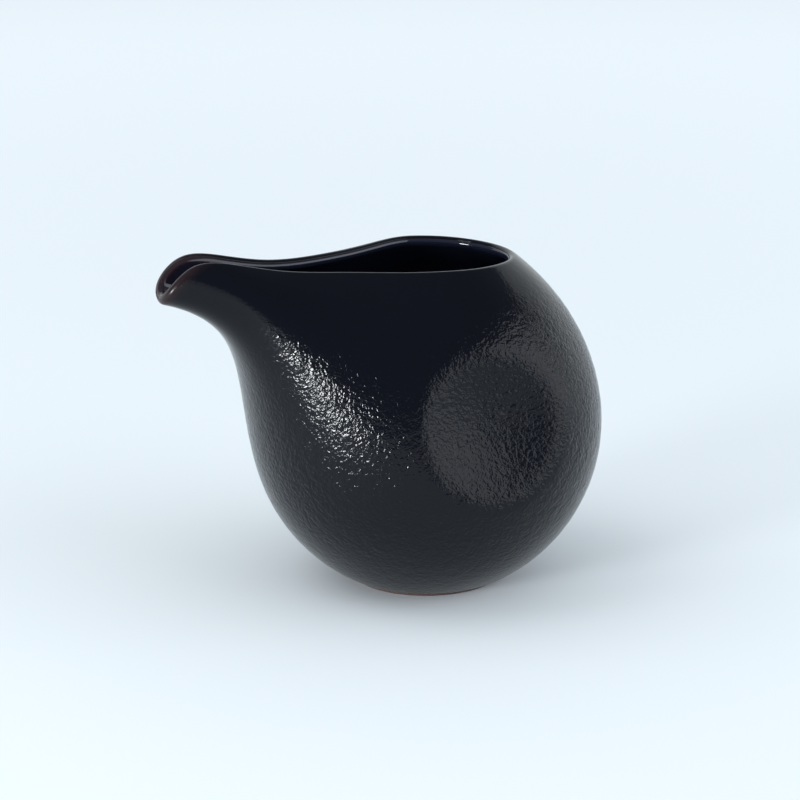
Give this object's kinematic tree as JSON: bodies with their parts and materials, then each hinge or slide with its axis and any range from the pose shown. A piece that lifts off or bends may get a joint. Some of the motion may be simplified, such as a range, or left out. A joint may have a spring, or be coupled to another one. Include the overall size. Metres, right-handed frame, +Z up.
{
  "type": "sake decanter",
  "caption": "Round stoneware sake pourer with an open teardrop mouth drawn out into a raised pouring lip, thumb dimples in its sides and a low foot ring, glazed black inside and out.",
  "frame": {"origin": "on the surface that the pourer stands on, under the middle of its length and of its width", "axes": "+Z up; the spout points along -X; the thumb dimples face -Y and +Y"},
  "size_m": [0.1282, 0.0962, 0.0984],
  "materials": {
    "bare_clay": "unglazed dark stoneware, dry and slightly gritty",
    "satin_glaze": "satin black glaze with a fine pimpled skin, breaking to dark red brown along the edge of the lip",
    "gloss_glaze": "smooth glossy black glaze"
  },
  "bodies": {
    "root": {"clay_body": "bare_clay", "outer_glaze": "satin_glaze", "inner_glaze": "gloss_glaze", "foot_glaze": "satin_glaze"}
  },
  "joints": []
}
